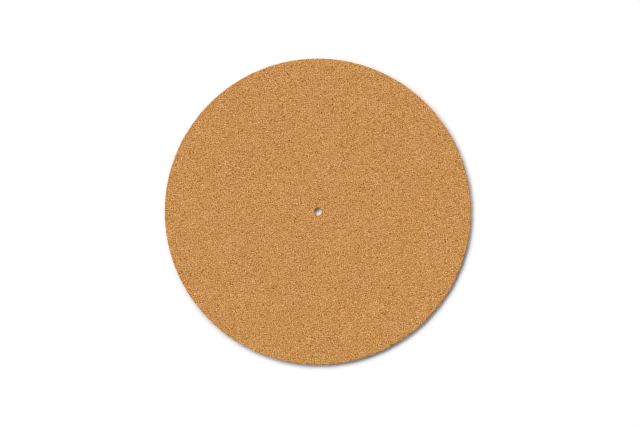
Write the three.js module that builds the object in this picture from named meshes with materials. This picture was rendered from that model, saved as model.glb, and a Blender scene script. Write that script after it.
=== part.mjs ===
// Turntable platter mat: one flat disc, die-cut from a sheet of fine-grain agglomerated
// cork, with a hole in its middle for the record spindle. Millimetres, +Z up. The origin
// is the centre of the underside, the face that lies on the platter.

import * as THREE from "three";

// Driving dimensions
const matDiameter = 300;
const sheetThickness = 3;
const spindleHoleDiameter = 7.2;
const upperEdgeRadius = 0.25; // the cutting rule drags the sheet's upper edge down as it enters
const lowerEdgeRadius = 0.15; // the lower edge breaks slightly as the rule leaves
const wallHollow = 0.12; // the squeezed cork springs back, so a cut wall is hollow mid-way

// Smoothness of the mesh
const stepsAround = 180; // a multiple of four, so that the disc is full size along X and Y
const stepsPerCurve = 2; // pieces in a hollow wall, and half the pieces in a rounded edge

const corkColour = 0xc58f55;
const corkRoughness = 0.95;

const quarterTurn = Math.PI / 2;

// The cross-section on one side of the axis, as radius and height, walked round from the
// underside: up the rim's wall, in along the playing face and down the spindle hole's wall.
function sheetSection() {
  const rim = matDiameter / 2;
  const bore = spindleHoleDiameter / 2;
  const upperCentre = sheetThickness - upperEdgeRadius;
  const lowerCentre = lowerEdgeRadius;
  const midWall = (upperCentre + lowerCentre) / 2;
  // A quadratic curve passes half as deep as its control point lies.
  const hollowControl = 2 * wallHollow;

  const section = new THREE.Path();
  section.moveTo(bore + lowerEdgeRadius, 0);
  section.lineTo(rim - lowerEdgeRadius, 0);
  section.absarc(rim - lowerEdgeRadius, lowerCentre, lowerEdgeRadius, -quarterTurn, 0);
  section.quadraticCurveTo(rim - hollowControl, midWall, rim, upperCentre);
  section.absarc(rim - upperEdgeRadius, upperCentre, upperEdgeRadius, 0, quarterTurn);
  section.lineTo(bore + upperEdgeRadius, sheetThickness);
  section.absarc(bore + upperEdgeRadius, upperCentre, upperEdgeRadius, quarterTurn, 2 * quarterTurn);
  section.quadraticCurveTo(bore + hollowControl, midWall, bore, lowerCentre);
  section.absarc(bore + lowerEdgeRadius, lowerCentre, lowerEdgeRadius, -2 * quarterTurn, -quarterTurn);
  return section.getPoints(stepsPerCurve);
}

// The section turned once round the vertical axis.
function platterMat() {
  const geometry = new THREE.LatheGeometry(sheetSection(), stepsAround);
  geometry.rotateX(quarterTurn); // a lathe turns round +Y, and the mat's axis is +Z
  const cork = new THREE.MeshStandardMaterial({
    color: corkColour,
    roughness: corkRoughness,
    metalness: 0,
  });
  const mat = new THREE.Mesh(geometry, cork);
  mat.name = "platter_mat";
  return mat;
}

const part = new THREE.Group();
part.add(platterMat());

export default part;
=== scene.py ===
# Cork turntable mat, seen from straight above on a white table in soft light from the upper left
import math

import bpy
import numpy as np
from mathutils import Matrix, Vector, geometry, noise


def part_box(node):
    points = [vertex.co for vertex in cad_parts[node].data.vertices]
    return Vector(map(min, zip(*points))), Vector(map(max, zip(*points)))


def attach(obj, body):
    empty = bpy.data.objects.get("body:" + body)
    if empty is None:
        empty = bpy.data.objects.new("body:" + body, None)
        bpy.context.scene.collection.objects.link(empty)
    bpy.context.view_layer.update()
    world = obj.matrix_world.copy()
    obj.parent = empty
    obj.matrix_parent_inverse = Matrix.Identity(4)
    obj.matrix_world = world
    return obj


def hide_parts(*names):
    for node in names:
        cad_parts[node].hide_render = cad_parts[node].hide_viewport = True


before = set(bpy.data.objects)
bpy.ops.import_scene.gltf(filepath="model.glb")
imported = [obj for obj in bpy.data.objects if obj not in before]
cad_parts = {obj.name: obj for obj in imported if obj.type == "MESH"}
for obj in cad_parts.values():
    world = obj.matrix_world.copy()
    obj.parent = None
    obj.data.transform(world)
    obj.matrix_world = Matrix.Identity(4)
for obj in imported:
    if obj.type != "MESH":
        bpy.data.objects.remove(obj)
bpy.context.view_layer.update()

millimetre = 0.001
fullTurn = 2 * math.pi
quarterTurn = math.pi / 2
goldenAngle = math.pi * (3 - math.sqrt(5))


def linearColour(red, green, blue):
    # 0 to 255 as a picture editor shows it, turned into what the shader wants
    def channel(value):
        value /= 255
        return value / 12.92 if value <= 0.04045 else ((value + 0.055) / 1.055) ** 2.4

    return channel(red), channel(green), channel(blue), 1.0


# Shader maths

class Wire:
    # one output socket; an expression on it adds the Math nodes
    def __init__(self, graph, socket):
        self.graph = graph
        self.socket = socket

    def maths(self, operation, first, second):
        return self.graph.node("ShaderNodeMath", {"operation": operation},
                               {"Value": first, "Value_001": second})["Value"]

    def __add__(self, other):
        return self.maths("ADD", self, other)

    def __radd__(self, other):
        return self.maths("ADD", other, self)

    def __sub__(self, other):
        return self.maths("SUBTRACT", self, other)

    def __rsub__(self, other):
        return self.maths("SUBTRACT", other, self)

    def __mul__(self, other):
        return self.maths("MULTIPLY", self, other)

    def __rmul__(self, other):
        return self.maths("MULTIPLY", other, self)

    def orElse(self, other):
        return self.maths("MAXIMUM", self, other)


class Graph:
    # a material's or the world's node tree, emptied
    def __init__(self, owner):
        owner.use_nodes = True
        self.tree = owner.node_tree
        self.tree.nodes.clear()

    def node(self, kind, settings=None, inputs=None):
        made = self.tree.nodes.new(kind)
        for name, value in (settings or {}).items():
            if name == "stops":
                ramp = made.color_ramp.elements
                while len(ramp) < len(value):
                    ramp.new(1.0)
                for stop, (position, colour) in zip(ramp, value):
                    stop.position = position
                    stop.color = colour
            else:
                setattr(made, name, value)
        for name, value in (inputs or {}).items():
            socket = next(s for s in made.inputs if name in (s.identifier, s.name))
            if isinstance(value, Wire):
                self.tree.links.new(value.socket, socket)
            else:
                socket.default_value = value
        return {key: Wire(self, s) for s in made.outputs for key in (s.name, s.identifier)}

    def blend(self, factor, first, second):
        return self.node("ShaderNodeMix", {"data_type": "RGBA"},
                         {"Factor_Float": factor, "A_Color": first, "B_Color": second})["Result_Color"]

    def vectors(self, operation, first, second):
        return self.node("ShaderNodeVectorMath", {"operation": operation},
                         {"Vector": first, "Vector_001": second})["Vector"]

    def noise(self, place, width, detail):
        return self.node("ShaderNodeTexNoise", None,
                         {"Vector": place, "Scale": 1 / width, "Detail": detail})

    def ranged(self, value, start, end, low=0.0, high=1.0, kind="LINEAR"):
        return self.node("ShaderNodeMapRange", {"interpolation_type": kind}, {
            "Value": value, "From Min": start, "From Max": end, "To Min": low, "To Max": high})["Result"]

    def channels(self, colour):
        return self.node("ShaderNodeSeparateColor", None, {"Color": colour})


# The mat's mesh

matShape = {
    "upperRoll": 0.25 * millimetre,    # the die rolls the upper edge over
    "lip": 0.30 * millimetre,          # flat band just inside the roll, which keeps the edge crisp
    "lowerBreak": 0.15 * millimetre,
    "wallHollow": 0.12 * millimetre,   # cut cork springs back to a hollow wall
    "rollSteps": 3,                    # mesh steps down the roll, the wall and the lower break
    "wallSteps": 5,
    "breakSteps": 2,
    "edgeStep": 0.60 * millimetre,     # mesh spacing round the cut walls
    "upperStep": 1.22 * millimetre,    # mesh spacing on the playing face
    "underStep": 2.30 * millimetre,    # and on the underside
    "stray": 0.22,                     # how far a face's vertices stray, in those spacings
    "wallGap": 0.8,                    # and how near they come to a wall, in edge steps
    "grainDrop": 0.055 * millimetre,   # how unevenly the skived grains lie
    "slowDrop": 0.05 * millimetre,     # slow unevenness of the sheet
    "slowWidth": 26 * millimetre,
    "wallCrumb": 0.17 * millimetre,    # roughness of the cut walls
    "gougeShare": 0.03,                # a few vertices of a wall are gouged
    "gougeTimes": 3,                   # this many times deeper
    "faceCrumb": 0.3,                  # share of that roughness where a wall meets a face
    "rimChips": 300,                   # crumbled spots on the rim's upper edge
    "boreChips": 4,
    "chipLength": (0.8 * millimetre, 3.2 * millimetre),
    "chipDepth": (0.08 * millimetre, 0.50 * millimetre),
    "chipFade": 0.5,                   # how far down a chip reaches, in thicknesses
    "chipSag": 0.35,                   # how much it also lowers the edge, in its own depths
    "upperPits": 430,                  # lost grains on the playing face
    "underPits": 120,
    "pitWidth": (0.9 * millimetre, 1.9 * millimetre),
    "pitDepth": (0.12 * millimetre, 0.34 * millimetre),
    "pitRings": ((1, 0.0, 1.0), (5, 0.5, 0.85), (9, 1.0, 0.0)),    # vertices, share of reach and of depth
    "pitRagged": (0.75, 1.2),          # range of each vertex's own reach, in those shares
    "pitUneven": (0.8, 1.1),           # and of its depth
    "pitClearing": 1.5,                # no other vertex lies this near, in pit radii
    "pitInset": 2,                     # how far the pits keep from the walls, in mesh spacings
    "wallShade": 0.80,                 # the cut walls are darker than the faces
    "seed": 33,
}

bakeLayout = {
    "margin": 0.006,                   # round the large islands, in widths of the bake map
    "marginsAcross": 2.5,
    "holePlace": (0.1, 0.9),           # the hole's wall lies in a free corner
    "holeTimes": 4,                    # and is drawn this much larger than the rest
}

# each point of an evenly filled sheet has this share of a square as wide as their spacing
cellShare = 0.866


def sheetNoise(points, width):
    # smooth noise from 0 to 1 over points in the plane
    return np.array([0.5 + 0.5 * noise.noise((x / width, y / width, 0.0)) for x, y in points])


def trianglesBetween(points):
    # the triangles that join points in the plane, each as three of the points' numbers
    everyTriangle, tolerance, keepSources = 0, 1e-6, True
    flat = [Vector(point) for point in points / millimetre]
    found = geometry.delaunay_2d_cdt(flat, [], [], everyTriangle, tolerance, keepSources)
    corners, sources = found[2], found[3]
    given = np.array([source[0] for source in sources])
    return given[np.array(corners)]


class MatMesh:
    # gathers vertices, how much each is darkened, by painted shade in pits and chips, partly trapped dust,
    # and by the darker cut walls, and faces with their islands on the bake map
    def __init__(self, thickness, shape):
        self.thickness, self.shape = thickness, shape
        self.random = np.random.default_rng(shape["seed"])
        self.points, self.losses, self.faces, self.islands = [], [], [], []
        self.count = 0

    def addPoints(self, xyz, loss):
        first = self.count
        self.points.append(xyz)
        self.losses.append(loss)
        self.count += len(xyz)
        return np.arange(first, self.count)

    def addFaces(self, faces, island):
        self.faces += faces
        self.islands += [island] * len(faces)

    def section(self, radius, facing):
        # the cut wall from the upper face down; facing is 1 for the rim and -1 for the spindle hole
        s = self.shape
        curve = [(radius - facing * (s["upperRoll"] + s["lip"]), self.thickness)]
        for turn in np.linspace(0, quarterTurn, s["rollSteps"] + 1):
            curve.append((radius - facing * s["upperRoll"] * (1 - math.sin(turn)),
                          self.thickness - s["upperRoll"] * (1 - math.cos(turn))))
        top, low = self.thickness - s["upperRoll"], s["lowerBreak"]
        for share in np.linspace(0, 1, s["wallSteps"] + 1)[1:-1]:
            hollow = s["wallHollow"] * 4 * share * (1 - share)      # a parabola, deepest mid-way
            curve.append((radius - facing * hollow, top + (low - top) * share))
        for turn in np.linspace(0, quarterTurn, s["breakSteps"] + 1):
            curve.append((radius - facing * s["lowerBreak"] * (1 - math.cos(turn)),
                          low - s["lowerBreak"] * math.sin(turn)))
        return np.array(curve)

    def chips(self, angles, radius, count):
        # how deep the upper edge has crumbled at each angle
        s = self.shape
        depth = np.zeros(len(angles))
        for _ in range(count):
            centre = self.random.uniform(0, fullTurn)
            reach = self.random.uniform(*s["chipLength"]) / 2
            deep = self.random.uniform(*s["chipDepth"])
            away = np.abs((angles - centre + math.pi) % fullTurn - math.pi) * radius / reach
            depth = np.maximum(depth, deep * np.clip(1 - away ** 2, 0, 1))
        return depth

    def cutWall(self, radius, facing, chipCount, island):
        # the wall's rings of vertices from the top down, and how far each lies along the section
        s = self.shape
        section = self.section(radius, facing)
        around = 4 * round(fullTurn * radius / s["edgeStep"] / 4)      # so one lies on each half axis
        angles = np.arange(around) * fullTurn / around
        chipped = self.chips(angles, radius, chipCount)
        flatRows = 2                                    # the lip's rows lie on the upper face
        rings = []
        for row, (r, z) in enumerate(section):
            crumb = s["wallCrumb"] * self.random.random(around) ** 2
            crumb[self.random.random(around) < s["gougeShare"]] *= s["gougeTimes"]
            if row < flatRows or row == len(section) - 1:
                crumb *= s["faceCrumb"]
            nearTop = max(0.0, 1 - (self.thickness - z) / (s["chipFade"] * self.thickness))
            inward = crumb + chipped * nearTop
            height = z - chipped * nearTop * s["chipSag"]
            ringRadius = r - facing * inward
            # painted shade in chips and crumbled hollows, plus the cut walls' own darker tone
            loss = np.zeros(around)
            if row >= flatRows:
                shade = s["wallShade"] if row > flatRows else 0
                loss = np.clip(inward / s["pitDepth"][1] + shade, 0, 1)
            xyz = np.c_[ringRadius * np.cos(angles), ringRadius * np.sin(angles), height]
            rings.append(self.addPoints(xyz, loss))
        for upper, lower in zip(rings, rings[1:]):
            a, b = upper, np.roll(upper, -1)
            c, d = np.roll(lower, -1), lower
            quads = np.c_[a, d, c, b] if facing > 0 else np.c_[a, b, c, d]
            self.addFaces(quads.tolist(), island)
        steps = np.hypot(*np.diff(section, axis=0).T)
        return {"rings": rings, "run": np.r_[0, np.cumsum(steps)]}

    def scatter(self, inner, outer, step):
        # an even spiral of points over the sheet, each a little astray
        stray = self.shape["stray"]
        count = int(math.pi * (outer ** 2 - inner ** 2) / (cellShare * step ** 2))
        order = np.arange(count) + 0.5
        away = np.sqrt(inner ** 2 + (outer ** 2 - inner ** 2) * order / count)
        spread = np.c_[away * np.cos(order * goldenAngle), away * np.sin(order * goldenAngle)]
        spread += self.random.uniform(-stray, stray, spread.shape) * step
        away = np.hypot(*spread.T)
        spread *= (np.clip(away, inner, outer) / away)[:, None]     # none may cross a wall
        return spread

    def lostGrains(self, inner, outer, count):
        # where each lost grain lay, how far its pit reaches and how deep it is
        s = self.shape
        away = np.sqrt(self.random.uniform((inner / outer) ** 2, 1, count)) * outer
        angle = self.random.uniform(0, fullTurn, count)
        wide = self.random.uniform(*s["pitWidth"], count) / 2
        deep = self.random.uniform(*s["pitDepth"], count)
        return np.c_[away * np.cos(angle), away * np.sin(angle), wide, deep]

    def digPits(self, pits, spread):
        # which of the spread points stay, and each pit's own points with their depths
        s = self.shape
        stays = np.ones(len(spread), bool)
        dug, depths = [], []
        for x, y, wide, deep in pits:
            stays &= np.hypot(spread[:, 0] - x, spread[:, 1] - y) > s["pitClearing"] * wide
            turn = self.random.uniform(0, fullTurn)
            for number, share, depth in s["pitRings"]:
                angles = turn + np.arange(number) * fullTurn / number
                reach = wide * share * self.random.uniform(*s["pitRagged"], number)
                dug.append(np.c_[x + reach * np.cos(angles), y + reach * np.sin(angles)])
                depths.append(deep * depth * self.random.uniform(*s["pitUneven"], number))
        return stays, np.vstack(dug), np.concatenate(depths)

    def sheetFace(self, loops, step, pitCount, facing, island):
        # one flat face between the rim's loop and the hole's; facing is 1 for up and -1 for down
        s = self.shape
        gathered = np.vstack(self.points)
        edges = [gathered[loop, :2] for loop in loops]
        gap = s["wallGap"] * s["edgeStep"]
        outer = np.hypot(*edges[0].T).min() - gap
        inner = np.hypot(*edges[1].T).max() + gap
        spread = self.scatter(inner, outer, step)
        drop = s["grainDrop"] * self.random.random(len(spread))
        inset = s["pitInset"] * step
        pits = self.lostGrains(inner + inset, outer - inset, pitCount)
        stays, dug, depths = self.digPits(pits, spread)
        flat = np.vstack([spread[stays], dug])
        drop = np.r_[drop[stays], depths] + s["slowDrop"] * sheetNoise(flat, s["slowWidth"])
        # painted shade in the pits of lost grains, partly trapped dust
        loss = np.r_[np.zeros(stays.sum()), np.clip(depths / s["pitDepth"][1], 0, 1)]
        level = self.thickness - drop if facing > 0 else drop
        middle = self.addPoints(np.c_[flat, level], loss)

        # the triangles are found with the loops as even circles, because a crumbled loop isn't round
        circles = [edge / np.hypot(*edge.T)[:, None] * radius
                   for edge, radius in zip(edges, (outer + gap, inner - gap))]
        corners = trianglesBetween(np.vstack([*circles, flat]))
        holeStart, holeEnd = len(loops[0]), len(loops[0]) + len(loops[1])
        inHole = ((corners >= holeStart) & (corners < holeEnd)).all(axis=1)
        corners = np.concatenate([*loops, middle])[corners[~inHole]]
        if facing < 0:
            corners = corners[:, ::-1]
        self.addFaces(corners.tolist(), island)


def layBakeMap(mesh, build, radius, bore, rim, hole):
    # three islands: the upper face with the rim unrolled round it, the underside, and the hole's wall
    points = np.vstack(build.points)
    away = np.hypot(points[:, 0], points[:, 1])
    unrolled = {key: away.copy() for key in ("upper", "under", "hole")}
    for ring, run in zip(rim["rings"], rim["run"]):
        unrolled["upper"][ring] = radius - matShape["upperRoll"] - matShape["lip"] + run
    for ring, run in zip(hole["rings"], hole["run"]):
        unrolled["hole"][ring] = bore + hole["run"][-1] - run

    # the two large islands lie corner to corner, as large as the map allows
    margin = bakeLayout["margin"]
    upperReach = radius + rim["run"][-1]
    fit = (1 - bakeLayout["marginsAcross"] * margin) / ((upperReach + radius) * (1 + math.sqrt(0.5)))
    upperPlace = margin + upperReach * fit
    underPlace = 1 - margin - radius * fit
    places = {
        "upper": (upperPlace, upperPlace, fit),
        "under": (underPlace, underPlace, fit),
        "hole": (*bakeLayout["holePlace"], bakeLayout["holeTimes"] * fit),
    }
    corners = np.empty(len(mesh.loops), int)
    mesh.loops.foreach_get("vertex_index", corners)
    sizes = np.empty(len(mesh.polygons), int)
    mesh.polygons.foreach_get("loop_total", sizes)
    island = np.repeat(np.array(build.islands), sizes)
    uv = np.empty((len(corners), 2))
    for key, (x, y, scale) in places.items():
        mine = island == key
        vertex = corners[mine]
        heading = points[vertex, :2] / away[vertex, None]
        uv[mine] = np.array([x, y]) + heading * (unrolled[key][vertex] * scale)[:, None]
    bakeMap = mesh.uv_layers.new(name="OFBake")
    bakeMap.data.foreach_set("uv", uv.ravel())


def buildMat(name, node):
    shape = matShape
    low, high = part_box(node)
    radius, thickness = (high.x - low.x) / 2, high.z - low.z
    bore = min(math.hypot(v.co.x, v.co.y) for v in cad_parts[node].data.vertices)
    build = MatMesh(thickness, shape)
    rim = build.cutWall(radius, 1, shape["rimChips"], "upper")
    hole = build.cutWall(bore, -1, shape["boreChips"], "hole")
    tops = [rim["rings"][0], hole["rings"][0]]
    bottoms = [rim["rings"][-1], hole["rings"][-1]]
    build.sheetFace(tops, shape["upperStep"], shape["upperPits"], 1, "upper")
    build.sheetFace(bottoms, shape["underStep"], shape["underPits"], -1, "under")

    mesh = bpy.data.meshes.new(name)
    mesh.from_pydata(np.vstack(build.points).tolist(), [], build.faces)
    mesh.polygons.foreach_set("use_smooth", [True] * len(mesh.polygons))
    shadeAndWallMask = mesh.attributes.new("lostCork", "FLOAT", "POINT")
    shadeAndWallMask.data.foreach_set("value", np.concatenate(build.losses))
    layBakeMap(mesh, build, radius, bore, rim, hole)
    mesh.validate()
    mat = bpy.data.objects.new(name, mesh)
    bpy.context.collection.objects.link(mat)
    triangles = sum(len(face) - 2 for face in build.faces)
    print("mat mesh:", build.count, "vertices,", triangles, "triangles")
    return mat


# Cork

corkLook = {
    "bark": linearColour(104, 46, 0),          # darkest grains
    "darkGrain": linearColour(170, 107, 29),
    "midGrain": linearColour(200, 144, 81),    # the mat's overall colour
    "paleGrain": linearColour(229, 172, 108),
    "creamGrain": linearColour(250, 205, 148),
    # colour of the painted shade in the crevices between grains
    "gapShadeBrown": linearColour(149, 96, 32),
    # where each grain's colour stands between dark, 0, and pale, 1
    "tones": {"bark": 0.0, "darkGrain": 0.22, "midGrain": 0.5, "paleGrain": 0.78, "creamGrain": 1.0},
    "grainWidth": 1.5 * millimetre,
    "grainPress": 1.35,                        # grains lie pressed flat in the sheet
    "grainBend": 0.3,                          # how far a grain's outline wanders, in grains
    "evenness": 0.85,                          # 1 is wholly random
    "turn": (0.35, 0.22, 0.60),                # the textures' axes lie askew of the sheet
    "mottleWidth": 1.0 * millimetre,
    "mottleReach": 1.0 * millimetre,           # a spot stands out from what lies this far off
    "mottleCrisp": 1.4,                        # and this strongly
    "dustWidth": 0.30 * millimetre,
    "driftWidth": 45 * millimetre,
    "domeShadeWidth": 0.30,                         # painted shade: a grain is darker at its edge, as a lit dome would be, and pales over this much of it inwards
    "domeMiddle": 0.45,                        # what that comes to on average
    "domeShadeTone": 0.49,                          # how much each of these shifts the tone
    "grainTone": 0.10,
    "mottleTone": 1.03,
    "dustTone": 0.35,
    "driftTone": 0.06,
    "gapShade": 0.30,                          # painted shade: how dark the crevices between grains are
    "gapWidth": 0.06,                          # in grains
    "speckWidth": 2.6 * millimetre,            # one possible bark speck in each such space
    "speckShare": 0.60,                        # how many of the spaces hold one
    "chipShare": 0.24,                         # and how many hold a pale chip instead
    "shareEdge": 0.01,                         # how sharply a space is one or the other
    "speckReach": (0.108, 0.168),              # radius of the smallest, in those spaces: full, and gone
    "speckSpread": 0.11,                       # how much wider the largest is
    "shadeAndWallDarkness": 0.45,                         # how dark the painted shade in pits and chips, partly trapped dust, and the darker cut walls go
    "roughness": 0.92,
    "specular": 0.25,
    "bumpDepth": 0.06 * millimetre,
    "bumpWidth": 0.22,                         # a grain rises over this much of it
    "bumpDome": 0.6,                           # how much each of these lifts the surface
    "bumpDust": 0.5,
    "bumpGrain": 0.35,
}

average = 0.5      # of a noise texture or of random colours, and the middle of the tones


def spotted(graph, place):
    # soft spots that stand out from what lies round them; about 0 on average
    look = corkLook

    def at(x, y):
        moved = graph.vectors("ADD", place, (x, y, 0.0))
        return graph.noise(moved, look["mottleWidth"], 0.0)["Fac"] - average

    reach = look["mottleReach"]
    nearby = at(reach, 0.0) + at(0.0, reach) + at(-reach, 0.0) + at(0.0, -reach)
    return at(0.0, 0.0) - nearby * (look["mottleCrisp"] / 4)


def speckled(graph, place, shade):
    # some of the spaces hold a speck of bark, and a few a pale chip
    look = corkLook
    spaces = graph.node("ShaderNodeTexVoronoi", None, {"Vector": place, "Scale": 1 / look["speckWidth"]})
    parts = graph.channels(spaces["Color"])
    lot, size = parts["Red"], parts["Green"]
    away = spaces["Distance"] - size * size * look["speckSpread"]
    near = graph.ranged(away, *look["speckReach"], 1.0, 0.0)
    dark = graph.ranged(lot, look["speckShare"], look["speckShare"] - look["shareEdge"])
    pale = graph.ranged(lot, 1 - look["chipShare"], 1 - look["chipShare"] + look["shareEdge"])
    withBark = graph.blend(dark * near, shade, look["bark"])
    return graph.blend(pale * near, withBark, look["creamGrain"])


def corkMaterial(name):
    look = corkLook
    cork = bpy.data.materials.new(name)
    graph = Graph(cork)
    place = graph.node("ShaderNodeTexCoord")["Object"]
    pressed = graph.vectors("MULTIPLY", place, (1.0, 1.0, look["grainPress"]))
    turned = graph.node("ShaderNodeVectorRotate", {"rotation_type": "EULER_XYZ"},
                        {"Vector": pressed, "Rotation": look["turn"]})["Vector"]

    # grains aren't clean cells, so their space is bent by fine noise
    wander = graph.vectors("SUBTRACT", graph.noise(turned, look["grainWidth"], 1.0)["Color"], (average,) * 3)
    wander = graph.vectors("MULTIPLY", wander, (look["grainBend"] * look["grainWidth"],) * 3)
    bent = graph.vectors("ADD", turned, wander)

    cells = {"Vector": bent, "Scale": 1 / look["grainWidth"], "Randomness": look["evenness"]}
    grains = graph.node("ShaderNodeTexVoronoi", None, cells)
    toEdge = graph.node("ShaderNodeTexVoronoi", {"feature": "DISTANCE_TO_EDGE"}, cells)["Distance"]
    ownTone = graph.channels(grains["Color"])["Red"]
    mottle = spotted(graph, turned)
    dust = graph.noise(turned, look["dustWidth"], 1.0)["Fac"]
    drift = graph.noise(place, look["driftWidth"], 2.0)["Fac"]
    shadeAndWallMask = graph.node("ShaderNodeAttribute", {"attribute_name": "lostCork"})["Fac"]

    # painted shade: each grain darker towards its edges, as if domed and lit from above
    dome = graph.ranged(toEdge, 0.0, look["domeShadeWidth"])
    tone = (average + (dome - look["domeMiddle"]) * look["domeShadeTone"] + (ownTone - average) * look["grainTone"]
            + mottle * look["mottleTone"] + (dust - average) * look["dustTone"]
            + (drift - average) * look["driftTone"])
    stops = [(position, look[grain]) for grain, position in look["tones"].items()]
    shade = graph.node("ShaderNodeValToRGB", {"stops": stops}, {"Fac": tone})["Color"]
    flecked = speckled(graph, bent, shade)
    # painted shade in the crevices between grains
    gap = graph.ranged(toEdge, 0.0, look["gapWidth"], 1.0, 0.0)
    gapShaded = graph.blend(gap * look["gapShade"], flecked, look["gapShadeBrown"])
    # painted shade in pits and chips, partly trapped dust, and the darker cut walls
    colour = graph.blend(shadeAndWallMask * look["shadeAndWallDarkness"], gapShaded, look["bark"])

    domed = graph.ranged(toEdge, 0.0, look["bumpWidth"], kind="SMOOTHSTEP")
    height = domed * look["bumpDome"] + dust * look["bumpDust"] + ownTone * look["bumpGrain"]
    bump = graph.node("ShaderNodeBump", None,
                      {"Strength": 1.0, "Distance": look["bumpDepth"], "Height": height})["Normal"]
    shader = graph.node("ShaderNodeBsdfPrincipled", None, {
        "Base Color": colour,
        "Roughness": look["roughness"],
        "Specular IOR Level": look["specular"],
        "Normal": bump,
    })["BSDF"]
    graph.node("ShaderNodeOutputMaterial", None, {"Surface": shader})
    return cork


mat = buildMat("cork_mat", "platter_mat")
mat.data.materials.append(corkMaterial("cork"))
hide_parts("platter_mat")
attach(mat, "root")
print("cork dressed")


# Table, light and camera

studio = {
    "tableSize": 60.0,                 # metres, so that its edge is never near
    "tableDrop": 0.02 * millimetre,    # keeps the table just clear of the underside
    "tableWhite": 0.98,
    "tableGlow": 0.03,                 # lifts the table to white for the camera only
    "sunHeight": math.radians(34),
    "sunHeading": math.radians(131),   # anticlockwise from +X, where the light comes from
    "sunWidth": math.radians(30),
    # a long bay window: each sun's turn from that heading in degrees, and its share of the light
    "suns": ((0, 0.35), (-35, 0.205), (35, 0.205), (-86, 0.09), (86, 0.09)),
}

viewpoint = {
    "lens": 200.0,                     # in millimetres, as is the sensor's width
    "sensor": 36.0,
    "farthest": 100.0,                 # metres that the camera sees
    "frameWidth": 640,                 # the photograph's own pixels
    "frameHeight": 427,
    "matCentre": (317.83, 211.62),
    "matRadius": 153.25,
}


def layTable():
    half = studio["tableSize"] / 2
    corners = [(-half, -half, 0), (half, -half, 0), (half, half, 0), (-half, half, 0)]
    mesh = bpy.data.meshes.new("table")
    mesh.from_pydata(corners, [], [(0, 1, 2, 3)])
    table = bpy.data.objects.new("table", mesh)
    table.location.z = -studio["tableDrop"]
    bpy.context.collection.objects.link(table)
    paper = bpy.data.materials.new("white_table")
    graph = Graph(paper)
    white = studio["tableWhite"]
    surface = graph.node("ShaderNodeBsdfDiffuse", None, {"Color": (white, white, white, 1)})["BSDF"]
    glow = graph.node("ShaderNodeEmission", None, {"Strength": studio["tableGlow"]})["Emission"]
    lit = graph.node("ShaderNodeAddShader", None, {"Shader": surface, "Shader_001": glow})["Shader"]
    seen = graph.node("ShaderNodeLightPath")["Is Camera Ray"]
    shown = graph.node("ShaderNodeMixShader", None,
                       {"Fac": seen, "Shader": surface, "Shader_001": lit})["Shader"]
    graph.node("ShaderNodeOutputMaterial", None, {"Surface": shown})
    mesh.materials.append(paper)


def hangSuns():
    level, up = math.cos(studio["sunHeight"]), math.sin(studio["sunHeight"])
    for turn, share in studio["suns"]:
        lamp = bpy.data.lights.new("window", "SUN")
        lamp.angle = studio["sunWidth"]
        lamp.energy = share * math.pi / up       # its share of white, on a level surface
        heading = studio["sunHeading"] + math.radians(turn)
        source = Vector((level * math.cos(heading), level * math.sin(heading), up))
        sun = bpy.data.objects.new("window", lamp)
        sun.rotation_euler = source.to_track_quat("Z", "Y").to_euler()
        bpy.context.collection.objects.link(sun)


def whitenRoom():
    # white where it is seen, and otherwise the light that the suns leave
    world = bpy.data.worlds.new("white_room")
    bpy.context.scene.world = world
    graph = Graph(world)
    path = graph.node("ShaderNodeLightPath")
    seen = path["Is Camera Ray"].orElse(path["Is Glossy Ray"]).orElse(path["Is Transmission Ray"])
    fill = 1 - sum(share for _, share in studio["suns"])
    strength = fill + (1 - fill) * seen
    room = graph.node("ShaderNodeBackground", None,
                      {"Color": (1, 1, 1, 1), "Strength": strength})["Background"]
    graph.node("ShaderNodeOutputWorld", None, {"Surface": room})


def aimCamera():
    low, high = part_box("platter_mat")
    pixel = (high.x - low.x) / 2 / viewpoint["matRadius"]          # its width in metres at the upper face
    x, y = viewpoint["matCentre"]
    right = (viewpoint["frameWidth"] / 2 - x) * pixel
    back = (y - viewpoint["frameHeight"] / 2) * pixel
    away = viewpoint["frameWidth"] * pixel * viewpoint["lens"] / viewpoint["sensor"]
    data = bpy.data.cameras.new("camera")
    data.lens, data.sensor_width = viewpoint["lens"], viewpoint["sensor"]
    data.clip_end = viewpoint["farthest"]
    camera = bpy.data.objects.new("camera", data)
    camera.location = (right, back, high.z + away)
    bpy.context.collection.objects.link(camera)
    bpy.context.scene.camera = camera


layTable()
hangSuns()
whitenRoom()
aimCamera()
bpy.context.scene.view_settings.view_transform = "Standard"
print("table, light and camera set")
